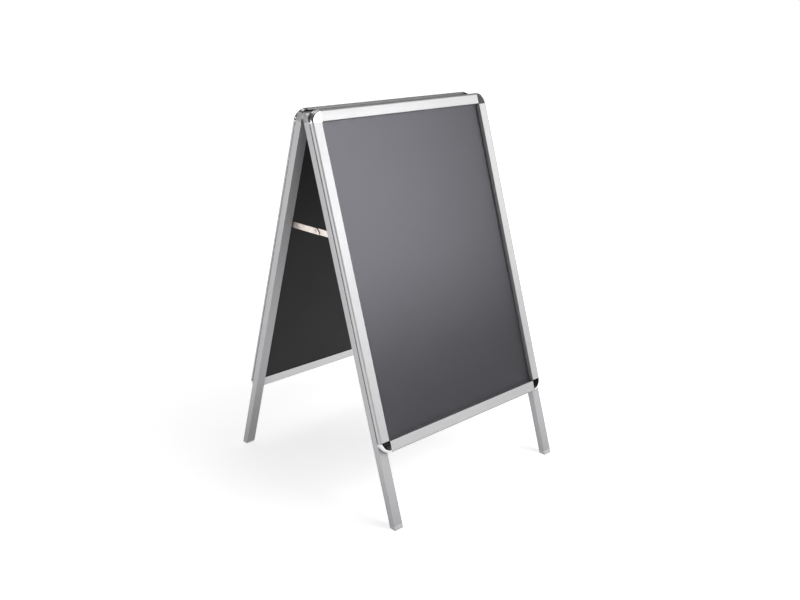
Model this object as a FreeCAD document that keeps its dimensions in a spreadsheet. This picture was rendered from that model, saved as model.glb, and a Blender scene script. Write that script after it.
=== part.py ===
"""Folding sandwich board: two A1 snap frames on tube legs, hinged at the top.

Millimetres, +Z up, front board towards -Y, origin on the floor under the middle of the board.

Each board is drawn upright in its own board frame, with the hinge axis at the origin:
x runs across, y is minus the distance out from the folding plane, and z is minus the
distance down from the hinge axis. The board is then tilted about the hinge axis. The rear
board is the front one turned half a turn about the vertical.

Every rail of a snap frame has one section, drawn with `across` measured from the rail's
outer edge towards the poster and `out` measured from the rail's back towards the viewer.
"""
import FreeCAD, Part
import os
import re
import Sketcher

Vector = FreeCAD.Vector
Placement = FreeCAD.Placement
Rotation = FreeCAD.Rotation

SIZES = [
    ("poster_width", 594.0, "poster, short side"),
    ("poster_height", 841.0, "poster, long side"),
    ("poster_grip", 10.0, "poster border held under the cover on each side"),
    ("rail_width", 32.0, "snap rail, face width"),
    ("rail_depth", 14.0, "snap rail, back to face"),
    ("tilt_angle", 17.5, "lean of each board from the vertical, degrees"),
    ("frame_rise", 10.0, "frame's top edge above the hinge axis, along the board"),
    ("leg_reach", 194.0, "leg below the frame's bottom edge, along the board"),
    ("fold_gap", 1.0, "back of each leg to the folding plane"),
    ("tube_width", 28.0, "leg tube, across the board"),
    ("tube_depth", 20.0, "leg tube, through the board"),
    ("tube_wall", 1.5, "leg tube wall"),
    ("tube_corner", 1.2, "leg tube outer corner radius"),
    ("tube_drop", 16.0, "top of the leg tube below the hinge axis"),
    ("foot_height", 5.0, "foot, at the back of the leg"),
    ("plug_gap", 0.1, "gap around a plug inside the tube"),
    ("foot_plug", 22.0, "foot plug length inside the tube"),
    ("base_wall", 1.2, "base rail wall"),
    ("base_inset", 2.3, "base rail's outer wall, in from the rail's edge"),
    ("bead_rise", 5.6, "pivot bead's axis out from the rail's back"),
    ("bead_gap", 0.06, "running gap around the pivot bead"),
    ("socket_start", 272.0, "bead socket, first end, degrees"),
    ("socket_end", 68.0, "bead socket, second end, degrees"),
    ("channel_start", 8.6, "connector channel, near side, from the rail's edge"),
    ("channel_width", 9.4, "connector channel, clear width"),
    ("channel_rise", 4.2, "connector channel, out from the rail's back"),
    ("channel_lip", 1.6, "lips over the connector channel"),
    ("channel_lip_wall", 0.8, "thickness of those lips"),
    ("cover_wall", 1.3, "cover wall"),
    ("cover_edge", 0.9, "rounding of a cover's inner edge"),
    ("lip_lean", 1.4, "lean of the cover's inner lip towards the poster"),
    ("lip_gap", 0.3, "cover's lip above the poster sheet"),
    ("cover_end_gap", 0.7, "cover's end to the corner cap"),
    ("panel_gap", 0.3, "gap around the back panel and the poster sheet"),
    ("panel_wall", 1.2, "back panel thickness"),
    ("sheet_wall", 0.5, "clear poster sheet thickness"),
    ("cap_wall", 1.6, "corner cap wall"),
    ("cap_proud", 0.4, "corner cap's face above the covers"),
    ("cap_post", 3.0, "corner cap's inner post radius"),
    ("cap_screw_shift", 2.4, "corner cap's screw, inwards from the connector channels"),
    ("boss_radius", 3.2, "screw boss radius"),
    ("bracket_wall", 2.0, "corner bracket thickness"),
    ("bracket_width", 9.0, "corner bracket width"),
    ("bracket_reach", 38.0, "corner bracket, reach into each rail"),
    ("bracket_chamfer", 6.0, "corner bracket's cut corner"),
    ("stack_gap", 0.05, "small gap between stacked pieces"),
    ("screw_radius", 1.9, "screw shank radius"),
    ("screw_length", 8.0, "screw shank length"),
    ("screw_head_radius", 3.2, "screw head radius"),
    ("screw_head_height", 1.1, "screw head height"),
    ("screw_hole_gap", 0.1, "gap around a screw shank"),
    ("screw_room", 1.0, "blind hole past a screw's tip"),
    ("rail_screw_inset", 60.0, "first rail screw from the rail's end"),
    ("spring_length", 26.0, "cover spring, along the rail"),
    ("spring_wall", 0.7, "cover spring thickness"),
    ("spring_gap", 0.4, "cover spring to the closed cover"),
    ("spring_side_gap", 0.3, "cover spring to the bead socket"),
    ("spring_tip", 14.0, "cover spring's tip, from the rail's edge"),
    ("hinge_length", 47.0, "hinge, along its pin"),
    ("hinge_rise", 9.0, "hinge leaf above the pin"),
    ("hinge_gap", 1.2, "hinge leaf's back to the folding plane"),
    ("hinge_face_gap", 0.4, "hinge leaf's front to the rail's back"),
    ("hinge_foot", 3.0, "hinge leaf's foot on the tube"),
    ("knuckle_radius", 5.5, "hinge knuckle radius"),
    ("knuckle_gap", 0.5, "gap around and between the knuckles"),
    ("pin_radius", 2.0, "hinge pin radius"),
    ("pin_gap", 0.05, "running gap around the hinge pin"),
    ("hinge_plug", 20.0, "hinge plug length inside the tube"),
    ("hinge_screw_drop", 10.0, "hinge screw below the top of the tube"),
    ("stay_drop", 313.0, "stay's pivot below the hinge axis, along the leg"),
    ("stay_out", 11.0, "stay's pivot out from the folding plane"),
    ("stay_height", 16.0, "stay link height"),
    ("stay_wall", 2.0, "stay link thickness"),
    ("stay_clear", 2.5, "outer stay link to the leg"),
    ("stay_gap", 0.5, "gap between the two links of a stay"),
    ("stay_nose", 17.0, "rear link's nose past the middle pivot"),
    ("rivet_radius", 2.5, "stay rivet shank radius"),
    ("rivet_gap", 0.05, "running gap around a stay rivet"),
    ("rivet_head_radius", 5.0, "stay rivet head radius"),
    ("rivet_head", 1.5, "stay rivet head height"),
    ("rivet_reach", 4.0, "stay rivet's reach into the leg"),
]

DERIVED = {
    "window_width": "poster_width - 2 * poster_grip",
    "window_height": "poster_height - 2 * poster_grip",
    "frame_width": "window_width + 2 * rail_width",
    "frame_height": "window_height + 2 * rail_width",
    "frame_foot": "frame_height - frame_rise",
    "rail_back": "fold_gap + tube_depth",
    "floor_drop": "frame_foot + leg_reach",
    "tube_end": "floor_drop - foot_height",
    "tube_length": "tube_end - tube_drop",
    "foot_slope": "tube_depth * tan(tilt_angle)",
    "hinge_height": "floor_drop * cos(tilt_angle) - fold_gap * sin(tilt_angle)",
    "socket_radius": "bead_radius + bead_gap",
    "socket_outer": "socket_radius + base_wall",
    "wall_inner": "base_inset + base_wall",
    "channel_end": "channel_start + channel_width",
    "channel_middle": "channel_start + channel_width / 2",
    "stop_inner": "channel_end + base_wall",
    "bead_radius": "cover_wall",
    "cover_start": "bead_rise + bead_radius",
    "cover_round": "rail_depth - cover_start",
    "cover_inner": "rail_depth - cover_wall",
    "panel_edge": "stop_inner + panel_gap",
    "panel_back": "base_wall",
    "sheet_back": "panel_back + panel_wall",
    "lip_foot": "sheet_back + sheet_wall + lip_gap",
    "screw_hole": "screw_radius + screw_hole_gap",
    "bracket_back": "base_wall + stack_gap",
    "bracket_front": "bracket_back + bracket_wall",
    "bracket_inner": "rail_width - channel_middle - bracket_width / 2",
    "bracket_outer": "rail_width - channel_middle + bracket_width / 2",
    "cap_screw_offset": "rail_width - channel_middle - cap_screw_shift",
    "spring_foot": "bead_radius + socket_outer + spring_side_gap",
    "spring_knee": "bead_rise + 2 * bead_radius",
    "spring_crest": "cover_inner - spring_gap",
    "hinge_depth": "rail_back - hinge_gap - hinge_face_gap",
    "hinge_crown": "hinge_depth / 3",
    "hinge_lean": "hinge_rise * tan(tilt_angle)",
    "nose_step": "stay_height / 8",
    "nose_slope": "stay_height * 5 / 8",
    "tube_middle": "fold_gap + tube_depth / 2",
    "leg_middle": "frame_width / 2 - tube_width / 2",
    "leg_inner": "frame_width / 2 - tube_width",
    "knuckle_split": "hinge_length / 2",
    "stay_length": "stay_drop * sin(tilt_angle) + stay_out * cos(tilt_angle)",
    "stay_level": "hinge_height - stay_drop * cos(tilt_angle) + stay_out * sin(tilt_angle)",
    "rear_link_side": "leg_inner - stay_clear",
    "front_link_side": "rear_link_side - stay_wall - stay_gap",
}

LEFT, RIGHT = -1, 1
HANDS = {"left": LEFT, "right": RIGHT}
SIDES = ("front", "rear")
EDGES = ("top", "bottom", "left", "right")
LEVELS = ("top", "bottom")

# Springs along a rail, as fractions of its length.
SHORT_RAIL_SPRINGS = (0.25, 0.75)
LONG_RAIL_SPRINGS = (0.17, 0.5, 0.83)

LEAST_CUT = 0.001  # cubic millimetres
SAME_PLACE = 0.01  # millimetres

doc = FreeCAD.newDocument("SandwichBoard")
sheet = doc.addObject("Spreadsheet::Sheet", "Dims")
for row, (alias, size, note) in enumerate(SIZES, start=1):
    sheet.set(f"A{row}", note)
    sheet.set(f"B{row}", str(size))
    sheet.setAlias(f"B{row}", alias)
doc.recompute()

SIZE_NAMES = {alias for alias, size, note in SIZES}
WORD = re.compile(r"[a-z][a-z_]*")
parts = []


# ---------------------------------------------------------------- expressions and sketches

def expand(text):
    """Turn an expression in plain size names into one that reads the spreadsheet."""
    def swap(match):
        word = match.group(0)
        if word in DERIVED:
            return "(" + expand(DERIVED[word]) + ")"
        return "Dims." + word if word in SIZE_NAMES else word
    return WORD.sub(swap, text)


def number(text):
    """The present value of an expression."""
    return float(sheet.evalExpression(expand(text)))


def vector(x, y, z):
    return Vector(number(x), number(y), number(z))


def new_body(label):
    body = doc.addObject("PartDesign::Body", label)
    body.Label = label
    return body


def new_sketch(body, role, height="0"):
    """A sketch on one of the body's origin planes, lifted by `height` along its normal."""
    sketch = body.newObject("Sketcher::SketchObject", body.Label + "_sketch")
    plane = next(item for item in body.Origin.OriginFeatures if item.Role == role)
    sketch.AttachmentSupport = (plane, [""])
    sketch.MapMode = "FlatFace"
    sketch.setExpression("AttachmentOffset.Base.z", expand(height))
    return sketch


def constrain(sketch, constraints):
    """Add (constraint, expression) pairs; an expression of None leaves it unbound."""
    first = len(sketch.Constraints)
    sketch.addConstraint([constraint for constraint, text in constraints])
    for index, (constraint, text) in enumerate(constraints, start=first):
        if text is not None:
            sketch.setExpression(f"Constraints[{index}]", expand(text))


def draw_outline(sketch, corners):
    """A closed outline. A corner is (x, y), or (x, y, radius, turn) where an arc leads on
    from it to the next corner: turn is "left" or "right", "far left" past half a turn, or
    "half" for a left half circle on an upright chord."""
    points = [Vector(number(corner[0]), number(corner[1]), 0) for corner in corners]
    count = len(corners)
    first = sketch.GeometryCount
    edges = []
    constraints = []
    for index, corner in enumerate(corners):
        start = points[index]
        end = points[(index + 1) % count]
        if len(corner) == 2:
            sketch.addGeometry(Part.LineSegment(start, end), False)
            edges.append((1, 2))
            continue
        radius = number(corner[2])
        chord = end - start
        normal = Vector(-chord.y, chord.x, 0).normalize()
        rise = max(radius ** 2 - chord.Length ** 2 / 4, 0.0) ** 0.5
        if corner[3] in ("right", "far left"):
            rise = -rise
        centre = (start + end) * 0.5 + normal * rise
        low, high = (end, start) if corner[3] == "right" else (start, end)
        x_axis = Vector(1, 0, 0)
        angles = []
        for point in (low, high):
            ray = point - centre
            angle = ray.getAngle(x_axis)
            angles.append(angle if ray.y >= 0 else -angle)
        circle = Part.Circle(centre, Vector(0, 0, 1), radius)
        sketch.addGeometry(Part.ArcOfCircle(circle, angles[0], angles[1]), False)
        edges.append((2, 1) if corner[3] == "right" else (1, 2))
        if corner[3] == "half":
            middle = Sketcher.Constraint("DistanceX", -1, 1, first + index, 3, centre.x)
            constraints.append((middle, corner[0]))
        else:
            constraints.append((Sketcher.Constraint("Radius", first + index, radius), corner[2]))
    for index, corner in enumerate(corners):
        following = (index + 1) % count
        joint = Sketcher.Constraint("Coincident", first + index, edges[index][1],
                                    first + following, edges[following][0])
        across = Sketcher.Constraint("DistanceX", -1, 1, first + index, edges[index][0],
                                     points[index].x)
        upward = Sketcher.Constraint("DistanceY", -1, 1, first + index, edges[index][0],
                                     points[index].y)
        constraints.append((joint, None))
        constraints.append((across, corner[0]))
        constraints.append((upward, corner[1]))
    constrain(sketch, constraints)


def draw_rectangle(sketch, low_x, high_x, low_y, high_y):
    draw_outline(sketch, [(low_x, low_y), (high_x, low_y), (high_x, high_y), (low_x, high_y)])


def draw_circle(sketch, x, y, radius):
    centre = Vector(number(x), number(y), 0)
    circle = Part.Circle(centre, Vector(0, 0, 1), number(radius))
    index = sketch.addGeometry(circle, False)
    constrain(sketch, [
        (Sketcher.Constraint("Radius", index, number(radius)), radius),
        (Sketcher.Constraint("DistanceX", -1, 1, index, 3, centre.x), x),
        (Sketcher.Constraint("DistanceY", -1, 1, index, 3, centre.y), y),
    ])


# ---------------------------------------------------------------- features

def pad(body, sketch, length, reverse=False, middle=False):
    feature = body.newObject("PartDesign::Pad", body.Label + "_pad")
    feature.Profile = sketch
    feature.Midplane = middle
    feature.Reversed = reverse
    feature.setExpression("Length", expand(length))
    doc.recompute()
    return feature


def pocket(body, sketch, length, reverse=False, middle=False):
    """Cut the sketch out, and make sure that the cut took something away."""
    before = body.Shape.Volume
    feature = body.newObject("PartDesign::Pocket", body.Label + "_pocket")
    feature.Profile = sketch
    feature.Midplane = middle
    feature.Reversed = reverse
    feature.setExpression("Length", expand(length))
    doc.recompute()
    if body.Shape.Volume > before - LEAST_CUT:
        raise RuntimeError(f"{feature.Label} cuts nothing")
    return feature


def round_edges(body, chosen, radius):
    """Round the edges that `chosen` picks by their two end points."""
    base = body.Tip
    names = []
    for index, edge in enumerate(base.Shape.Edges, start=1):
        ends = [vertex.Point for vertex in edge.Vertexes]
        if len(ends) == 2 and chosen(ends[0], ends[1]):
            names.append(f"Edge{index}")
    if not names:
        raise RuntimeError(f"{body.Label} has no such edge to round")
    feature = body.newObject("PartDesign::Fillet", body.Label + "_fillet")
    feature.Base = (base, names)
    feature.setExpression("Radius", expand(radius))
    doc.recompute()
    return feature


def near(value, text):
    return abs(value - number(text)) < SAME_PLACE


def same(first, second):
    return abs(first - second) < SAME_PLACE


def tube_edge(start, end):
    """Whether these are the ends of one of the four outer edges along a leg tube."""
    along = same(start.x, end.x) and same(start.y, end.y) and not same(start.z, end.z)
    return (along and near(abs(start.x), "tube_width / 2")
            and near(abs(start.y), "tube_depth / 2"))


def lip_edge(start, end):
    """Whether these are the ends of the edge where a cover's face meets its lip."""
    return all(near(point.x, "rail_width - lip_lean") and near(point.y, "rail_depth")
               for point in (start, end))


# ---------------------------------------------------------------- places

def board_placement(side):
    """From the upright board frame to the standing object."""
    rise = Vector(0, 0, number("hinge_height"))
    tilt = number("tilt_angle")
    if side == "front":
        return Placement(rise, Rotation(Vector(1, 0, 0), -tilt))
    turn = Rotation(Vector(0, 0, 1), 180)
    return Placement(rise, Rotation(Vector(1, 0, 0), tilt) * turn)


def board_hand(side, hand):
    """The rear board is turned about, so its own left is the object's right."""
    return HANDS[hand] if side == "front" else -HANDS[hand]


def board_edge(side, edge):
    """The name of an edge of the object in the board's own frame."""
    if side == "rear" and edge in HANDS:
        return "right" if edge == "left" else "left"
    return edge


def from_axes(origin, x_axis, y_axis):
    return Placement(origin, Rotation(x_axis, y_axis, x_axis.cross(y_axis)))


def rail_placement(edge, start="0"):
    """Rail frame to board frame: x across the rail, y out, z along it from `start`."""
    out = Vector(0, -1, 0)
    y = "-rail_back"
    places = {
        "top": (vector(f"window_width / 2 - {start}", y, "frame_rise"), Vector(0, 0, -1)),
        "bottom": (vector(f"{start} - window_width / 2", y, "-frame_foot"), Vector(0, 0, 1)),
        "left": (vector("-frame_width / 2", y, f"frame_rise - rail_width - {start}"),
                 Vector(1, 0, 0)),
        "right": (vector("frame_width / 2", y, f"{start} + rail_width - frame_foot"),
                  Vector(-1, 0, 0)),
    }
    origin, across = places[edge]
    return from_axes(origin, across, out)


def corner_placement(level, hand):
    """Corner frame to board frame: y out, the quarter round between x and minus z."""
    directions = {
        ("top", LEFT): Vector(0, 0, 1),
        ("top", RIGHT): Vector(1, 0, 0),
        ("bottom", RIGHT): Vector(0, 0, -1),
        ("bottom", LEFT): Vector(-1, 0, 0),
    }
    z = "frame_rise - rail_width" if level == "top" else "rail_width - frame_foot"
    origin = vector(f"{hand} * window_width / 2", "-rail_back", z)
    return from_axes(origin, directions[(level, hand)], Vector(0, -1, 0))


def rail_length(edge):
    return "window_height" if edge in HANDS else "window_width"


def finish(item, placement):
    item.Placement = placement
    parts.append(item)


def add_group(label, shapes):
    """One node of several equal solids, each already in its place."""
    item = doc.addObject("Part::Feature", label)
    item.Label = label
    item.Shape = Part.makeCompound(shapes)
    parts.append(item)


def placed_copy(shape, placement):
    copy = shape.copy()
    copy.Placement = placement.multiply(copy.Placement)
    return copy


# ---------------------------------------------------------------- snap frame rails

def base_section():
    """Back plate with the bead socket, the connector channel and the poster ledge."""
    first = "socket_start"
    last = "socket_end"
    lip_back = "channel_rise - channel_lip_wall"
    socket_foot = "bead_rise - sqrt(socket_outer^2 - (wall_inner - bead_radius)^2)"
    return [
        ("base_inset", "0"),
        ("rail_width", "0"),
        ("rail_width", "base_wall"),
        ("stop_inner", "base_wall"),
        ("stop_inner", "channel_rise"),
        ("channel_end - channel_lip", "channel_rise"),
        ("channel_end - channel_lip", lip_back),
        ("channel_end", lip_back),
        ("channel_end", "base_wall"),
        ("channel_start", "base_wall"),
        ("channel_start", lip_back),
        ("channel_start + channel_lip", lip_back),
        ("channel_start + channel_lip", "channel_rise"),
        ("channel_start - base_wall", "channel_rise"),
        ("channel_start - base_wall", "base_wall"),
        ("wall_inner", "base_wall"),
        ("wall_inner", socket_foot, "socket_outer", "left"),
        (f"bead_radius + socket_outer * cos({last})",
         f"bead_rise + socket_outer * sin({last})"),
        (f"bead_radius + socket_radius * cos({last})",
         f"bead_rise + socket_radius * sin({last})", "socket_radius", "right"),
        (f"bead_radius + socket_radius * cos({first})",
         f"bead_rise + socket_radius * sin({first})"),
    ]


def cover_section():
    """Pivot bead, rounded flank, flat face and the lip that holds the poster."""
    return [
        ("0", "bead_rise", "bead_radius", "far left"),
        ("bead_radius", "cover_start", "cover_round - cover_wall", "right"),
        ("cover_round", "cover_start + cover_round - cover_wall"),
        ("rail_width - lip_lean - cover_wall", "cover_inner"),
        ("rail_width - cover_wall", "lip_foot"),
        ("rail_width", "lip_foot"),
        ("rail_width - lip_lean", "rail_depth"),
        ("cover_round", "cover_start + cover_round", "cover_round", "left"),
        ("0", "cover_start"),
    ]


def make_base_rail(side, edge):
    body = new_body(f"{side}_base_{edge}")
    section = new_sketch(body, "XY_Plane")
    draw_outline(section, base_section())
    pad(body, section, rail_length(edge))
    if edge in HANDS:
        holes = new_sketch(body, "XZ_Plane")
        for along in rail_screw_places():
            draw_circle(holes, "channel_middle", along, "screw_hole")
        pocket(body, holes, "base_wall")
    finish(body, board_placement(side).multiply(rail_placement(board_edge(side, edge))))


def make_cover(side, edge):
    body = new_body(f"{side}_snap_cover_{edge}")
    section = new_sketch(body, "XY_Plane")
    draw_outline(section, cover_section())
    pad(body, section, rail_length(edge) + " - 2 * cover_end_gap")
    round_edges(body, lip_edge, "cover_edge")
    place = rail_placement(board_edge(side, edge), "cover_end_gap")
    finish(body, board_placement(side).multiply(place))


def rail_screw_places():
    return ["rail_screw_inset", "window_height / 2", "window_height - rail_screw_inset"]


# ---------------------------------------------------------------- corners

def make_corner_cap(side, level, hand):
    body = new_body(f"{side}_corner_cap_{level}_{hand}")
    section = new_sketch(body, "XY_Plane")
    face = "rail_depth + cap_proud"
    draw_outline(section, [
        ("0", "lip_foot"),
        ("cap_post", "lip_foot"),
        ("cap_post", f"{face} - cap_wall"),
        ("rail_width - cover_round", f"{face} - cap_wall", "cover_round - cap_wall", "right"),
        ("rail_width - cap_wall", f"{face} - cover_round"),
        ("rail_width - cap_wall", "0"),
        ("rail_width", "0"),
        ("rail_width", f"{face} - cover_round", "cover_round", "left"),
        ("rail_width - cover_round", face),
        ("0", face),
    ])
    shell = body.newObject("PartDesign::Revolution", body.Label + "_shell")
    shell.Profile = section
    shell.ReferenceAxis = (section, ["V_Axis"])
    shell.Angle = 90
    doc.recompute()
    boss = new_sketch(body, "XZ_Plane", "-(bracket_front + stack_gap)")
    draw_circle(boss, "cap_screw_offset", "-cap_screw_offset", "boss_radius")
    boss_length = f"{face} - cap_wall / 2 - bracket_front - stack_gap"
    pad(body, boss, boss_length, reverse=True)
    hole = new_sketch(body, "XZ_Plane", "-(bracket_front + stack_gap)")
    draw_circle(hole, "cap_screw_offset", "-cap_screw_offset", "screw_hole")
    pocket(body, hole, f"{boss_length} - cap_wall")
    place = corner_placement(level, board_hand(side, hand))
    finish(body, board_placement(side).multiply(place))


def make_bracket_pattern():
    """One corner bracket in the corner frame, copied to the four corners of each board."""
    body = new_body("corner_bracket_pattern")
    outline = new_sketch(body, "XZ_Plane", "-bracket_back")
    draw_outline(outline, [
        ("bracket_inner", "bracket_reach"),
        ("bracket_outer", "bracket_reach"),
        ("bracket_outer", "bracket_chamfer - bracket_outer"),
        ("bracket_outer - bracket_chamfer", "-bracket_outer"),
        ("-bracket_reach", "-bracket_outer"),
        ("-bracket_reach", "-bracket_inner"),
        ("bracket_inner", "-bracket_inner"),
    ])
    draw_circle(outline, "cap_screw_offset", "-cap_screw_offset", "screw_hole")
    pad(body, outline, "bracket_wall", reverse=True)
    return body


def make_spring_pattern():
    """One cover spring in the rail frame: a foot on the base and an arm under the cover."""
    body = new_body("cover_spring_pattern")
    section = new_sketch(body, "XY_Plane")
    foot = "base_wall + stack_gap"
    draw_outline(section, [
        ("spring_foot", foot),
        ("channel_start - base_wall - stack_gap", foot),
        ("channel_start - base_wall - stack_gap", f"{foot} + spring_wall"),
        ("spring_foot + spring_wall", f"{foot} + spring_wall"),
        ("spring_foot + spring_wall", "spring_knee"),
        ("cover_round + spring_wall", "spring_crest - spring_wall"),
        ("spring_tip", "spring_crest - spring_wall"),
        ("spring_tip", "spring_crest"),
        ("cover_round", "spring_crest"),
        ("spring_foot", "spring_knee + spring_wall"),
    ])
    pad(body, section, "spring_length")
    return body


def make_screw_pattern():
    """One pan-head screw: its head's underside at the origin, its shank along z."""
    body = new_body("screw_pattern")
    shank = new_sketch(body, "XY_Plane")
    draw_circle(shank, "0", "0", "screw_radius")
    pad(body, shank, "screw_length")
    head = new_sketch(body, "XY_Plane")
    draw_circle(head, "0", "0", "screw_head_radius")
    pad(body, head, "screw_head_height", reverse=True)
    return body


def make_groups(side, bracket, spring, screw):
    """The brackets, springs and screws inside one board."""
    board = board_placement(side)
    corners = [corner_placement(level, hand) for level in LEVELS for hand in (LEFT, RIGHT)]
    add_group(f"{side}_corner_brackets",
              [placed_copy(bracket.Shape, board.multiply(place)) for place in corners])

    springs = []
    for edge in EDGES:
        fractions = LONG_RAIL_SPRINGS if edge in HANDS else SHORT_RAIL_SPRINGS
        for fraction in fractions:
            start = f"(({rail_length(edge)}) * {fraction} - spring_length / 2)"
            springs.append(placed_copy(spring.Shape, board.multiply(rail_placement(edge, start))))
    add_group(f"{side}_cover_springs", springs)

    add_group(f"{side}_frame_screws",
              [placed_copy(screw.Shape, board.multiply(place)) for place in screw_places()])


def screw_places():
    """Board-frame places of all the screws of one board: head at the origin, shank along z."""
    places = []
    inward = Placement(Vector(0, 0, 0), Rotation(Vector(1, 0, 0), 90))
    outward = Placement(Vector(0, 0, 0), Rotation(Vector(1, 0, 0), -90))
    for edge in HANDS:
        for along in rail_screw_places():
            seat = Placement(vector("channel_middle", "base_wall", along), Rotation())
            places.append(rail_placement(edge).multiply(seat).multiply(inward))
    for level in LEVELS:
        for hand in (LEFT, RIGHT):
            spot = vector("cap_screw_offset", "bracket_back", "-cap_screw_offset")
            seat = Placement(spot, Rotation())
            places.append(corner_placement(level, hand).multiply(seat).multiply(outward))
    for hand in (LEFT, RIGHT):
        spot = vector(f"{hand} * leg_inner", "-tube_middle", "-(tube_drop + hinge_screw_drop)")
        places.append(Placement(spot, Rotation(Vector(0, 1, 0), 90 * hand)))
    return places


# ---------------------------------------------------------------- panel and sheet

def make_plate(side, label, back, thickness):
    """A plate lying on the rails' ledges, in the rail frame's depths."""
    body = new_body(f"{side}_{label}")
    outline = new_sketch(body, "XZ_Plane", "rail_back + " + back)
    draw_rectangle(outline, "panel_edge - frame_width / 2", "frame_width / 2 - panel_edge",
                   "panel_edge - frame_foot", "frame_rise - panel_edge")
    pad(body, outline, thickness)
    finish(body, board_placement(side))


# ---------------------------------------------------------------- legs and feet

def make_leg(side, hand):
    body = new_body(f"{side}_leg_{hand}")
    board_side = board_hand(side, hand)
    section = new_sketch(body, "XY_Plane")
    draw_rectangle(section, "-tube_width / 2", "tube_width / 2",
                   "-tube_depth / 2", "tube_depth / 2")
    draw_rectangle(section, "tube_wall - tube_width / 2", "tube_width / 2 - tube_wall",
                   "tube_wall - tube_depth / 2", "tube_depth / 2 - tube_wall")
    pad(body, section, "tube_length", reverse=True)
    round_edges(body, tube_edge, "tube_corner")

    front_holes = new_sketch(body, "XZ_Plane")
    channel = f"{board_side} * (tube_width / 2 - channel_middle)"
    for along in rail_screw_places():
        draw_circle(front_holes, channel, f"frame_rise - rail_width - ({along}) + tube_drop",
                    "screw_hole")
    pocket(body, front_holes, "tube_depth", reverse=True)

    side_holes = new_sketch(body, "YZ_Plane")
    draw_circle(side_holes, "0", "-hinge_screw_drop", "screw_hole")
    draw_circle(side_holes, "tube_middle - stay_out", "tube_drop - stay_drop",
                "rivet_radius + screw_hole_gap")
    pocket(body, side_holes, "tube_width", reverse=board_side == LEFT)
    place = Placement(vector(f"{board_side} * leg_middle", "-tube_middle", "-tube_drop"),
                      Rotation())
    finish(body, board_placement(side).multiply(place))


def make_foot(side, hand):
    """A moulded foot: a wedge with a level sole, and a plug inside the tube."""
    body = new_body(f"{side}_foot_{hand}")
    wedge = new_sketch(body, "YZ_Plane")
    back = "tube_depth / 2"
    draw_outline(wedge, [
        (back, "0"),
        ("-" + back, "0"),
        ("-" + back, "-foot_height - foot_slope"),
        (back, "-foot_height"),
    ])
    pad(body, wedge, "tube_width", middle=True)
    round_edges(body, tube_edge, "tube_corner")
    plug = new_sketch(body, "XY_Plane")
    half_width = "(tube_width / 2 - tube_wall - plug_gap)"
    half_depth = "(tube_depth / 2 - tube_wall - plug_gap)"
    draw_rectangle(plug, "-" + half_width, half_width, "-" + half_depth, half_depth)
    pad(body, plug, "foot_plug")
    board_side = board_hand(side, hand)
    place = Placement(vector(f"{board_side} * leg_middle", "-tube_middle", "-tube_end"),
                      Rotation())
    finish(body, board_placement(side).multiply(place))


# ---------------------------------------------------------------- hinges

def make_hinge_leaf(side, hand):
    """A block on top of the leg with half of the knuckles and a plug inside the tube.
    Drawn with x from the board's outer edge inwards, times -1 on the right."""
    body = new_body(f"{side}_hinge_leaf_{hand}")
    inward = -board_hand(side, hand)
    flip = inward < 0
    block = new_sketch(body, "YZ_Plane")
    draw_outline(block, [
        ("-hinge_gap", "-tube_drop"),
        ("-hinge_gap", "0"),
        ("-hinge_gap - hinge_lean", "hinge_rise"),
        ("-hinge_gap - hinge_lean - hinge_crown", "hinge_rise"),
        ("-hinge_gap - hinge_depth", "hinge_rise / 2"),
        ("-hinge_gap - hinge_depth", "-tube_drop"),
    ])
    pad(body, block, "hinge_length", reverse=flip)

    foot = new_sketch(body, "XY_Plane", "-tube_drop")
    draw_rectangle(foot, "0", f"{inward} * tube_width",
                   "-fold_gap - tube_depth + stack_gap", "-hinge_gap")
    pad(body, foot, "hinge_foot")
    plug = new_sketch(body, "XY_Plane", "-tube_drop")
    inset = "(tube_wall + plug_gap)"
    draw_rectangle(plug, f"{inward} * {inset}", f"{inward} * (tube_width - {inset})",
                   f"-fold_gap - tube_depth + {inset}", f"-fold_gap - {inset}")
    pad(body, plug, "hinge_plug", reverse=True)

    own, other = ("0", "knuckle_split") if side == "front" else ("knuckle_split", "0")
    room = new_sketch(body, "YZ_Plane", f"{inward} * ({other} - knuckle_gap / 2)")
    draw_circle(room, "0", "0", "knuckle_radius + knuckle_gap")
    pocket(body, room, "hinge_length / 2 + knuckle_gap", reverse=not flip)

    start = f"{inward} * ({own} + {'0' if side == 'front' else 'knuckle_gap / 2'})"
    knuckle = new_sketch(body, "YZ_Plane", start)
    draw_outline(knuckle, [
        ("0", "-knuckle_radius", "knuckle_radius", "half"),
        ("0", "knuckle_radius"),
        ("-hinge_depth / 2", "knuckle_radius"),
        ("-hinge_depth / 2", "-knuckle_radius"),
    ])
    pad(body, knuckle, "hinge_length / 2 - knuckle_gap / 2", reverse=flip)
    bore = new_sketch(body, "YZ_Plane")
    draw_circle(bore, "0", "0", "pin_radius + pin_gap")
    pocket(body, bore, "hinge_length", reverse=not flip)
    screw = new_sketch(body, "YZ_Plane", f"{inward} * tube_width")
    draw_circle(screw, "-tube_middle", "-tube_drop - hinge_screw_drop", "screw_hole")
    pocket(body, screw, "screw_length + screw_room", reverse=flip)
    edge = vector(f"{-inward} * frame_width / 2", "0", "0")
    finish(body, board_placement(side).multiply(Placement(edge, Rotation())))


def make_hinge_pins():
    pins = []
    length = number("hinge_length - 2 * knuckle_gap")
    for hand in (LEFT, RIGHT):
        start = vector("frame_width / 2 - knuckle_gap", "0", "hinge_height")
        start.x *= hand
        pins.append(Part.makeCylinder(number("pin_radius"), length, start, Vector(-hand, 0, 0)))
    add_group("hinge_pins", pins)


# ---------------------------------------------------------------- stays

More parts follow.
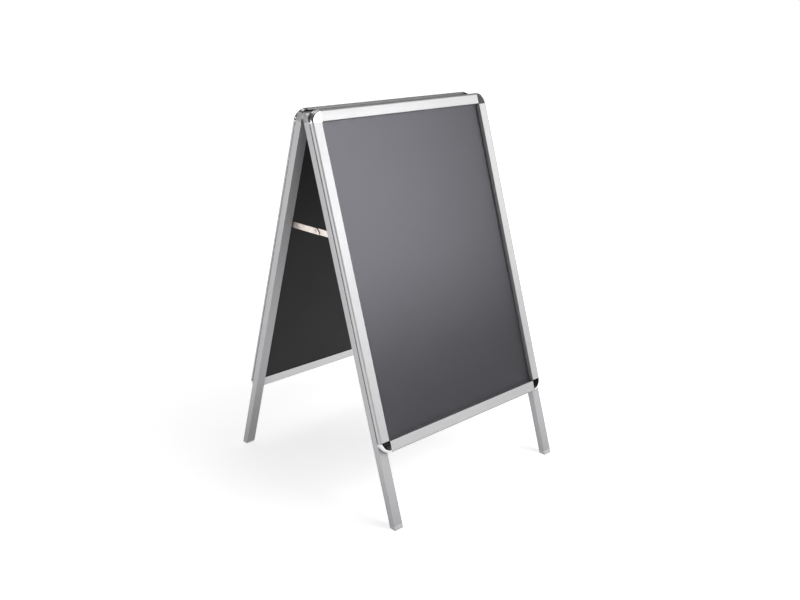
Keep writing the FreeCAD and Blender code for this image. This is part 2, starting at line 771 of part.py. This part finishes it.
def link_outline(nose):
    """A round-ended bar from its pivot to the middle pivot, or a chamfered nose past it."""
    half = "stay_height / 2"
    start = [("0", half, half, "half"), ("0", "-" + half)]
    if not nose:
        return start + [("stay_length", "-" + half, half, "half"), ("stay_length", half)]
    tip = "stay_length + stay_nose"
    return start + [
        (tip, "-" + half),
        (tip, "-nose_step"),
        (f"{tip} - nose_slope", half),
    ]


def link_side(side, hand):
    """The x of a link's face that its thickness is counted from, along its own z."""
    face = "front_link_side" if side == "front" else "rear_link_side"
    on_own_side = (side == "front") == (hand == "right")
    return f"{HANDS[hand]} * ({face}{' - stay_wall' if on_own_side else ''})"


def link_placement(side, hand):
    """Link frame to object frame: x towards the middle pivot, y up, z through the bar."""
    forward = 1 if side == "front" else -1
    origin = vector(link_side(side, hand), f"{-forward} * stay_length", "stay_level")
    return from_axes(origin, Vector(0, forward, 0), Vector(0, 0, 1))


def make_stay_link(side, hand):
    body = new_body(f"{side}_stay_link_{hand}")
    outline = new_sketch(body, "XY_Plane")
    draw_outline(outline, link_outline(side == "rear"))
    draw_circle(outline, "0", "0", "rivet_radius + rivet_gap")
    draw_circle(outline, "stay_length", "0", "rivet_radius + rivet_gap")
    pad(body, outline, "stay_wall")
    finish(body, link_placement(side, hand))


def make_middle_rivet(side, hand):
    """Half of the middle rivet: a head outside its link and a stub in the link's hole.
    The head is on the far face of a left link and on the near face of a right one."""
    body = new_body(f"{side}_middle_rivet_{hand}")
    far = hand == "left"
    stub = new_sketch(body, "XY_Plane")
    draw_circle(stub, "stay_length", "0", "rivet_radius")
    pad(body, stub, "stay_wall")
    head = new_sketch(body, "XY_Plane", "stay_wall" if far else "0")
    draw_circle(head, "stay_length", "0", "rivet_head_radius")
    pad(body, head, "rivet_head", reverse=not far)
    finish(body, link_placement(side, hand))


def make_disc(hand, y, low, high, radius):
    """A disc across the board on one hand, from `low` to `high` out from its middle."""
    start = Vector(hand * low, y, number("stay_level"))
    return Part.makeCylinder(number(radius), high - low, start, Vector(hand, 0, 0))


def make_stay_rivets(side):
    """Shoulder rivets that carry the links: a spacer, a shank into the leg and a head."""
    rivets = []
    face = "front_link_side" if side == "front" else "rear_link_side"
    link_outer = number(f"{face} + rivet_gap")
    link_inner = number(f"{face} - stay_wall - rivet_gap")
    head_top = link_inner - number("rivet_head")
    leg = number("leg_inner")
    y = number("stay_length") * (-1 if side == "front" else 1)
    for hand in (LEFT, RIGHT):
        shank = make_disc(hand, y, head_top, leg + number("rivet_reach"), "rivet_radius")
        spacer = make_disc(hand, y, link_outer, leg, "rivet_head_radius")
        head = make_disc(hand, y, head_top, link_inner, "rivet_head_radius")
        rivets.append(shank.fuse([spacer, head]).removeSplitter())
    add_group(f"{side}_stay_rivets", rivets)


# ---------------------------------------------------------------- the whole board

bracket_pattern = make_bracket_pattern()
spring_pattern = make_spring_pattern()
screw_pattern = make_screw_pattern()

for side in SIDES:
    for edge in EDGES:
        make_base_rail(side, edge)
        make_cover(side, edge)
    for level in LEVELS:
        for hand in HANDS:
            make_corner_cap(side, level, hand)
    make_plate(side, "back_panel", "panel_back", "panel_wall")
    make_plate(side, "cover_sheet", "sheet_back", "sheet_wall")
    for hand in HANDS:
        make_leg(side, hand)
        make_foot(side, hand)
        make_hinge_leaf(side, hand)
        make_stay_link(side, hand)
        make_middle_rivet(side, hand)
    make_stay_rivets(side)
    make_groups(side, bracket_pattern, spring_pattern, screw_pattern)
make_hinge_pins()

doc.recompute()
for item in doc.Objects:
    if "Invalid" in item.State or "Error" in item.State:
        raise RuntimeError(f"{item.Label} failed: {item.State}")
for item in parts:
    if item.Shape.isNull() or not item.Shape.isValid() or not item.Shape.Solids:
        raise RuntimeError(f"{item.Label} has no valid shape")

os.makedirs("parts", exist_ok=True)
for item in parts:
    item.Shape.exportStep(f"parts/{item.Label}.step")
print(len(parts), "parts written")
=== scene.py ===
"""Folding A1 sandwich board in a plain white studio.

Metres, +Z up, front board towards -Y, origin on the floor under the middle of the board.
"""
import math

import bmesh
import bpy
from mathutils import Matrix, Vector

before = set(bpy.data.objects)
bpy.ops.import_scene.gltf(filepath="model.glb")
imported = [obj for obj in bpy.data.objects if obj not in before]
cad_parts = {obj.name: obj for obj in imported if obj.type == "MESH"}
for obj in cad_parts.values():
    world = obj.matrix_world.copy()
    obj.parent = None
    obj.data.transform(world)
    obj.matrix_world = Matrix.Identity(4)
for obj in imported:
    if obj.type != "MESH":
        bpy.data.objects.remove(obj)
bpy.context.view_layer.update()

SIDES = ("front", "rear")
HANDS = ("left", "right")
EDGES = ("top", "bottom", "left", "right")
TILT = math.radians(17.5)

# Anodised finishes: the tints of covers, base rails and legs.
COVER_TINT = (0.49, 0.49, 0.495)
BASE_TINT = (0.78, 0.78, 0.785)
LEG_TINT = (0.49, 0.49, 0.50)

# Painted shade in grooves, deeper on the rear board: how dark a groove gets, and the shares of
# free sky at which it is darkest and unshaded.
BASE_GROOVE_SHADE = {"front": (0.9, 0.1, 0.5), "rear": (0.0, 0.75, 1.0)}
COVER_GROOVE_SHADE = {"front": (0.8, 0.1, 0.5), "rear": (0.1, 0.60, 0.98)}
LEG_GROOVE_SHADE = (0.5, 0.2, 0.6)

# Painted shade: near black blended into the anodised parts in grooves (within GROOVE) and where
# the boards shelter each other (within SHELTER).
PAINTED_SHADE_COLOUR = (0.02, 0.02, 0.022)
GROOVE = 0.008
# Painted shade where the boards shelter each other: its reach, and how dark it gets.
SHELTER = 0.45
SHELTER_SHADE = (0.62, 0.35, 0.80)

ALL_BUT_CAMERA = ("diffuse", "glossy", "transmission", "volume_scatter", "shadow")
ALL_BUT_REFLECTIONS = ("camera", "diffuse", "shadow")

CAMERA_PLACE = Vector((-1.7551, -1.8797, 1.3292))
CAMERA_YAW = math.radians(43.31)
CAMERA_PITCH = math.radians(-18.48)
CAMERA_ROLL = math.radians(0.26)
CAMERA_LENS = 42.34


# ---------------------------------------------------------------- node helpers

class Tree:
    """A new material's node tree, with short ways to add and join nodes."""

    def __init__(self, name):
        self.material = bpy.data.materials.new(name)
        self.material.use_nodes = True
        self.nodes = self.material.node_tree.nodes
        self.links = self.material.node_tree.links
        self.shader = self.nodes["Principled BSDF"]

    def add(self, kind, **settings):
        node = self.nodes.new("ShaderNode" + kind)
        for key, value in settings.items():
            setattr(node, key, value)
        return node

    def join(self, source, target):
        self.links.new(source, target)

    def set(self, **values):
        """Set the shader's own sockets, named with _ for a space."""
        for key, value in values.items():
            self.shader.inputs[key.replace("_", " ")].default_value = value

    def object_place(self, turn=0.0, scale=(1.0, 1.0, 1.0)):
        """Row-frame coordinates turned about X and scaled axis by axis."""
        coordinates = self.add("TexCoord")
        tilt = self.add("Mapping")
        tilt.inputs["Rotation"].default_value = (turn, 0.0, 0.0)
        self.join(coordinates.outputs["Object"], tilt.inputs["Vector"])
        stretch = self.add("Mapping")
        stretch.inputs["Scale"].default_value = scale
        self.join(tilt.outputs["Vector"], stretch.inputs["Vector"])
        return stretch.outputs["Vector"]

    def noise(self, place, scale=1.0, detail=2.0, roughness=0.5):
        node = self.add("TexNoise")
        node.inputs["Scale"].default_value = scale
        node.inputs["Detail"].default_value = detail
        node.inputs["Roughness"].default_value = roughness
        self.join(place, node.inputs["Vector"])
        return node.outputs["Fac"]

    def spread(self, source, low, high, start=0.3, end=0.7):
        """The source's start..end drawn out to low..high."""
        node = self.add("MapRange")
        node.inputs["From Min"].default_value = start
        node.inputs["From Max"].default_value = end
        node.inputs["To Min"].default_value = low
        node.inputs["To Max"].default_value = high
        self.join(source, node.inputs["Value"])
        return node.outputs["Result"]

    def math(self, operation, first, second):
        node = self.add("Math", operation=operation)
        for socket, value in zip(node.inputs, (first, second)):
            if isinstance(value, (int, float)):
                socket.default_value = value
            else:
                self.join(value, socket)
        return node.outputs["Value"]

    def blend(self, factor, dark, light):
        """One colour at factor 0, the other at factor 1."""
        node = self.add("Mix", data_type="RGBA")
        self.join(factor, node.inputs["Factor"])
        for socket, value in ((node.inputs[6], dark), (node.inputs[7], light)):
            if isinstance(value, tuple):
                socket.default_value = value + (1.0,)
            else:
                self.join(value, socket)
        return node.outputs[2]

    def bump(self, height, distance):
        node = self.add("Bump")
        node.inputs["Strength"].default_value = 1.0
        node.inputs["Distance"].default_value = distance
        self.join(height, node.inputs["Height"])
        self.join(node.outputs["Normal"], self.shader.inputs["Normal"])

    def edges(self, radius, sharp=0.08):
        """1 along edges within about that radius, 0 on flat faces."""
        bevel = self.add("Bevel", samples=4)
        bevel.inputs["Radius"].default_value = radius
        geometry = self.add("NewGeometry")
        dot = self.add("VectorMath", operation="DOT_PRODUCT")
        self.join(bevel.outputs["Normal"], dot.inputs[0])
        self.join(geometry.outputs["Normal"], dot.inputs[1])
        return self.spread(dot.outputs["Value"], 1.0, 0.0, start=1.0 - sharp, end=1.0)

    def painted_shade(self, distance, depth, closed, open_sky):
        """Painted shade from ambient occlusion: 1 in the open, falling to `depth` in grooves and
        corners narrower than the distance. `closed` and `open_sky` are the shares of free sky at
        which it is darkest and unshaded."""
        node = self.add("AmbientOcclusion", samples=8)
        node.inputs["Distance"].default_value = distance
        return self.spread(node.outputs["AO"], depth, 1.0, closed, open_sky)


# ---------------------------------------------------------------- metals

def anodised(name, turn, along, tint, groove_shade, roughness=0.50):
    """Satin anodised extrusion: fine die lines along its length, a little worn on its edges, and
    darkened by painted shade where the boards shelter each other and in its grooves, as deep as
    the groove-shade argument sets."""
    tree = Tree(name)
    stretch = {"x": (0.004, 1.0, 1.0), "slope": (1.0, 1.0, 0.004)}[along]
    line_place = tree.object_place(turn, tuple(900.0 * s for s in stretch))
    fine_lines = tree.noise(line_place, detail=3.0)
    broad_place = tree.object_place(turn, tuple(240.0 * s for s in stretch))
    broad_lines = tree.noise(broad_place, detail=2.0)
    die_lines = tree.math("MULTIPLY", tree.math("ADD", fine_lines, broad_lines), 0.5)
    clouds = tree.noise(tree.object_place(turn, (6.0, 6.0, 6.0)), detail=3.0)
    bloom = tree.noise(tree.object_place(turn, (900.0, 900.0, 900.0)), detail=1.0)
    worn = tree.edges(0.0008)
    shade = tree.math("ADD", tree.spread(die_lines, 0.0, 0.7), tree.spread(clouds, 0.0, 0.3))
    dark = tuple(0.90 * channel for channel in tint)
    face = tree.blend(shade, dark, tint)
    light = tuple(min(1.0, 1.14 * channel) for channel in tint)
    rubbed = tree.blend(worn, face, light)
    # Painted shade where the boards shelter each other, broad ambient occlusion blended towards
    # near black.
    shelter_shaded = tree.blend(tree.painted_shade(SHELTER, *SHELTER_SHADE), PAINTED_SHADE_COLOUR, rubbed)
    # Painted shade in grooves and narrow corners, blended over the rest.
    tree.join(tree.blend(tree.painted_shade(GROOVE, *groove_shade), PAINTED_SHADE_COLOUR, shelter_shaded),
              tree.shader.inputs["Base Color"])
    satin = tree.math("ADD", tree.spread(die_lines, roughness - 0.05, roughness + 0.05),
                      tree.spread(clouds, -0.02, 0.03))
    tree.join(tree.math("SUBTRACT", satin, tree.math("MULTIPLY", worn, 0.10)),
              tree.shader.inputs["Roughness"])
    relief = tree.math("ADD", die_lines, tree.math("MULTIPLY", bloom, 0.4))
    tree.bump(relief, 0.00001)
    tree.set(Metallic=1.0)
    return tree.material


def chrome(name):
    """Bright chrome plating on a moulded corner: faint ripple, fine scuffs and worn edges."""
    tree = Tree(name)
    ripple = tree.noise(tree.object_place(scale=(60.0, 60.0, 60.0)), detail=1.0)
    scuffs = tree.noise(tree.object_place(scale=(300.0, 2200.0, 700.0)), detail=4.0, roughness=0.7)
    haze = tree.noise(tree.object_place(scale=(25.0, 25.0, 25.0)), detail=3.0)
    worn = tree.edges(0.0010)
    face = tree.blend(haze, (0.60, 0.60, 0.62), (0.70, 0.70, 0.71))
    tree.join(tree.blend(worn, face, (0.86, 0.86, 0.86)), tree.shader.inputs["Base Color"])
    polish = tree.math("ADD", tree.spread(scuffs, 0.04, 0.14, 0.45, 0.75),
                       tree.spread(haze, 0.0, 0.05))
    tree.join(polish, tree.shader.inputs["Roughness"])
    tree.bump(tree.math("ADD", ripple, tree.math("MULTIPLY", scuffs, 0.02)), 0.0004)
    tree.set(Metallic=1.0)
    return tree.material


def plated(name, low, high, roughness, grain=1800.0, relief=0.00002):
    """Plated or rolled steel with a mottled face and lighter, rubbed edges."""
    tree = Tree(name)
    mottle = tree.noise(tree.object_place(scale=(70.0, 70.0, 70.0)), detail=4.0)
    fine = tree.noise(tree.object_place(scale=(grain, grain, grain)), detail=2.0)
    worn = tree.edges(0.0006)
    face = tree.blend(tree.spread(mottle, 0.0, 1.0), low, high)
    light = tuple(min(1.0, 1.25 * channel) for channel in high)
    tree.join(tree.blend(worn, face, light), tree.shader.inputs["Base Color"])
    tree.join(tree.math("ADD", tree.spread(fine, roughness - 0.06, roughness + 0.06),
                        tree.spread(mottle, -0.04, 0.06)), tree.shader.inputs["Roughness"])
    tree.bump(fine, relief)
    tree.set(Metallic=1.0)
    return tree.material


# ---------------------------------------------------------------- plastics

def dark_panel(name, turn):
    """Dark polystyrene sheet: fine leather grain, faint mottling and a few rubbed streaks."""
    tree = Tree(name)
    grain = tree.noise(tree.object_place(turn, (1500.0, 1500.0, 1500.0)), detail=3.0)
    mottle = tree.noise(tree.object_place(turn, (5.0, 5.0, 5.0)), detail=4.0)
    streaks = tree.noise(tree.object_place(turn, (14.0, 14.0, 1.2)), detail=5.0, roughness=0.6)
    shade = tree.math("ADD", tree.spread(mottle, 0.0, 0.6), tree.spread(streaks, 0.0, 0.4))
    tree.join(tree.blend(shade, (0.009, 0.009, 0.010), (0.014, 0.014, 0.016)),
              tree.shader.inputs["Base Color"])
    tree.join(tree.math("ADD", tree.spread(grain, 0.42, 0.55), tree.spread(streaks, -0.03, 0.05)),
              tree.shader.inputs["Roughness"])
    tree.bump(grain, 0.00002)
    tree.set(Specular_IOR_Level=0.22)
    return tree.material


def clear_sheet(name, turn):
    """Clear anti-glare film over the poster: etched satin face with faint handling marks."""
    tree = Tree(name)
    etch = tree.noise(tree.object_place(turn, (2500.0, 2500.0, 2500.0)), detail=2.0)
    wipes = tree.noise(tree.object_place(turn, (3.0, 3.0, 9.0)), detail=5.0, roughness=0.55)
    tree.join(tree.blend(wipes, (0.84, 0.83, 0.87), (0.90, 0.89, 0.93)),
              tree.shader.inputs["Base Color"])
    tree.join(tree.math("ADD", tree.spread(etch, 0.30, 0.38), tree.spread(wipes, -0.01, 0.01)),
              tree.shader.inputs["Roughness"])
    tree.bump(etch, 0.00001)
    tree.set(IOR=1.75, Specular_Tint=(0.91, 0.89, 1.0, 1.0), Transmission_Weight=1.0)
    return tree.material


def moulded(name, low, high, roughness):
    """Moulded plastic with a spark-eroded grain and scuffed edges."""
    tree = Tree(name)
    grain = tree.noise(tree.object_place(scale=(1600.0, 1600.0, 1600.0)), detail=3.0)
    dust = tree.noise(tree.object_place(scale=(90.0, 90.0, 90.0)), detail=5.0)
    worn = tree.edges(0.0010)
    face = tree.blend(tree.spread(dust, 0.0, 1.0), low, high)
    light = tuple(min(1.0, 1.2 * channel + 0.03) for channel in high)
    tree.join(tree.blend(worn, face, light), tree.shader.inputs["Base Color"])
    tree.join(tree.math("ADD", tree.spread(grain, roughness - 0.05, roughness + 0.05),
                        tree.spread(dust, -0.05, 0.08)), tree.shader.inputs["Roughness"])
    tree.bump(grain, 0.00003)
    return tree.material


# ---------------------------------------------------------------- finishes on the nodes

def paint(node, material):
    """Give every material slot of a CAD node this material."""
    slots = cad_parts[node].data.materials
    for index in range(len(slots)):
        slots[index] = material


chrome_plating = chrome("chrome_corner")
foot_plastic = moulded("foot_plastic", (0.46, 0.46, 0.47), (0.56, 0.56, 0.57), 0.5)
# The hinge leaves' dark grey is painted shade, the shadow between the boards, on a lighter metal.
hinge_metal = plated("hinge_metal", (0.20, 0.20, 0.205), (0.34, 0.34, 0.345), 0.36)
stay_steel = plated("stay_steel", (0.62, 0.55, 0.50), (0.80, 0.73, 0.68), 0.38)
rivet_steel = plated("rivet_steel", (0.50, 0.47, 0.45), (0.68, 0.66, 0.64), 0.30)
spring_steel = plated("spring_steel", (0.40, 0.40, 0.42), (0.58, 0.58, 0.60), 0.30)
bracket_steel = plated("bracket_steel", (0.50, 0.50, 0.52), (0.68, 0.68, 0.70), 0.42)
screw_steel = plated("screw_steel", (0.55, 0.55, 0.56), (0.74, 0.74, 0.75), 0.26)

for side in SIDES:
    turn = -TILT if side == "front" else TILT
    # The rear board's anodised copies take deeper painted groove shade than the front's.
    face_across = anodised(f"cover_across_{side}", turn, "x", COVER_TINT, COVER_GROOVE_SHADE[side])
    face_up = anodised(f"cover_up_{side}", turn, "slope", COVER_TINT, COVER_GROOVE_SHADE[side])
    base_across = anodised(f"base_across_{side}", turn, "x", BASE_TINT, BASE_GROOVE_SHADE[side])
    base_up = anodised(f"base_up_{side}", turn, "slope", BASE_TINT, BASE_GROOVE_SHADE[side])
    leg_finish = anodised(f"leg_{side}", turn, "slope", LEG_TINT, LEG_GROOVE_SHADE, roughness=0.62)
    for edge in EDGES:
        across = edge in ("top", "bottom")
        paint(f"{side}_snap_cover_{edge}", face_across if across else face_up)
        paint(f"{side}_base_{edge}", base_across if across else base_up)
    for hand in HANDS:
        paint(f"{side}_leg_{hand}", leg_finish)
        paint(f"{side}_foot_{hand}", foot_plastic)
        paint(f"{side}_hinge_leaf_{hand}", hinge_metal)
        paint(f"{side}_stay_link_{hand}", stay_steel)
        paint(f"{side}_middle_rivet_{hand}", rivet_steel)
        for level in ("top", "bottom"):
            paint(f"{side}_corner_cap_{level}_{hand}", chrome_plating)
    paint(f"{side}_back_panel", dark_panel(f"panel_plastic_{side}", turn))
    paint(f"{side}_cover_sheet", clear_sheet(f"poster_sheet_{side}", turn))
    paint(f"{side}_stay_rivets", rivet_steel)
    paint(f"{side}_corner_brackets", bracket_steel)
    paint(f"{side}_cover_springs", spring_steel)
    paint(f"{side}_frame_screws", screw_steel)
paint("hinge_pins", screw_steel)


# ---------------------------------------------------------------- studio

def plain(name, colour):
    """A dull, faintly speckled surface."""
    tree = Tree(name)
    speckle = tree.noise(tree.object_place(scale=(3.0, 3.0, 3.0)), detail=2.0)
    dark = tuple(0.985 * channel for channel in colour)
    tree.join(tree.blend(speckle, dark, colour), tree.shader.inputs["Base Color"])
    tree.set(Roughness=0.9, Specular_IOR_Level=0.1)
    return tree.material


def aim(item, place, target):
    """Stand a card or a light at the place, facing the target."""
    look = (Vector(target) - Vector(place)).to_track_quat("-Z", "Y")
    item.matrix_world = Matrix.Translation(place) @ look.to_matrix().to_4x4()


def hide_from(item, rays):
    for ray in rays:
        setattr(item, "visible_" + ray, False)


def card(name, width, height, place, target, material):
    """A flat rectangle facing the target."""
    mesh = bpy.data.meshes.new(name)
    w, h = width / 2, height / 2
    mesh.from_pydata([(-w, -h, 0), (w, -h, 0), (w, h, 0), (-w, h, 0)], [], [(0, 1, 2, 3)])
    mesh.materials.append(material)
    item = bpy.data.objects.new(name, mesh)
    bpy.context.scene.collection.objects.link(item)
    aim(item, place, target)
    return item


def soft_box(name, width, height, place, target, power):
    """A rectangular soft light facing the target."""
    light = bpy.data.lights.new(name, "AREA")
    light.shape = "RECTANGLE"
    light.size, light.size_y = width, height
    light.energy = power
    item = bpy.data.objects.new(name, light)
    bpy.context.scene.collection.objects.link(item)
    aim(item, place, target)


def dome(name, radius, material):
    """A plain white surround that only the camera sees."""
    mesh = bpy.data.meshes.new(name)
    ball = bmesh.new()
    bmesh.ops.create_uvsphere(ball, u_segments=48, v_segments=24, radius=radius)
    ball.to_mesh(mesh)
    ball.free()
    mesh.materials.append(material)
    item = bpy.data.objects.new(name, mesh)
    bpy.context.scene.collection.objects.link(item)
    hide_from(item, ALL_BUT_CAMERA)


def glowing(name, strength):
    """A plain light source."""
    tree = Tree(name)
    tree.set(Base_Color=(0.0, 0.0, 0.0, 1.0), Roughness=1.0,
             Emission_Color=(1.0, 1.0, 1.0, 1.0), Emission_Strength=strength)
    return tree.material


def sweep(name, near, far, start, end):
    """White floor that glows, brighter far out and dimmer near the middle: painted shade round the
    board, under which the lamps' soft shadows show.
    """
    tree = Tree(name)
    coordinates = tree.add("TexCoord")
    distance = tree.add("VectorMath", operation="LENGTH")
    tree.join(coordinates.outputs["Object"], distance.inputs[0])
    # Painted light and shade: the floor's glow rises with the distance from the middle.
    glow = tree.spread(distance.outputs["Value"], near, far, start, end)
    tree.join(glow, tree.shader.inputs["Emission Strength"])
    speckle = tree.noise(tree.object_place(scale=(3.0, 3.0, 3.0)), detail=2.0)
    tree.join(tree.blend(speckle, (0.83, 0.83, 0.83), (0.85, 0.85, 0.85)),
              tree.shader.inputs["Base Color"])
    tree.set(Roughness=0.9, Specular_IOR_Level=0.1, Emission_Color=(1.0, 1.0, 1.0, 1.0))
    return tree.material


def flag(name, width, height, place, target):
    """A black card that only shows in reflections."""
    item = card(name, width, height, place, target, plain("flag_black", (0.01, 0.01, 0.01)))
    hide_from(item, ALL_BUT_REFLECTIONS)


def panel_light(name, width, height, place, target, strength):
    """A plain lit card that only shows in reflections."""
    item = card(name, width, height, place, target, glowing(name, strength))
    hide_from(item, ALL_BUT_REFLECTIONS)


MIDDLE = (0.0, 0.0, 0.55)
FRONT_MIDDLE = (0.0, -0.2, 0.7)
FRONT_FOOT = (0.0, -0.2, 0.25)

card("floor", 60.0, 60.0, (0, 0, 0), (0, 0, -1), sweep("floor_white", 0.72, 1.10, 0.5, 2.2))
dome("surround", 45.0, glowing("surround_white", 1.0))

world = bpy.data.worlds.new("studio")
world.use_nodes = True
background = world.node_tree.nodes["Background"]
background.inputs["Color"].default_value = (1.0, 1.0, 1.0, 1.0)
background.inputs["Strength"].default_value = 0.15
bpy.context.scene.world = world

soft_box("key", 2.7, 2.1, (1.22, -2.74, 1.88), FRONT_MIDDLE, 68.0)
soft_box("top", 2.0, 2.0, (0.2, 0.2, 3.2), MIDDLE, 11.0)
flag("low_flag", 3.6, 0.8, (1.95, -2.60, 0.20), FRONT_FOOT)
panel_light("back_light", 4.0, 2.2, (2.2, 3.0, 1.15), MIDDLE, 1.6)
panel_light("right_light", 1.8, 2.0, (3.2, -0.8, 1.2), MIDDLE, 1.8)
panel_light("left_light", 4.5, 2.0, (-3.4, 0.4, 1.15), MIDDLE, 2.1)

bpy.context.scene.view_settings.view_transform = "Standard"

lens = bpy.data.cameras.new("camera")
lens.lens = CAMERA_LENS
lens.sensor_width = 36.0
lens.clip_start, lens.clip_end = 0.05, 200.0
camera = bpy.data.objects.new("camera", lens)
bpy.context.scene.collection.objects.link(camera)
camera.matrix_world = (Matrix.Translation(CAMERA_PLACE)
                       @ Matrix.Rotation(-CAMERA_YAW, 4, "Z")
                       @ Matrix.Rotation(math.pi / 2 + CAMERA_PITCH, 4, "X")
                       @ Matrix.Rotation(CAMERA_ROLL, 4, "Z"))
bpy.context.scene.camera = camera
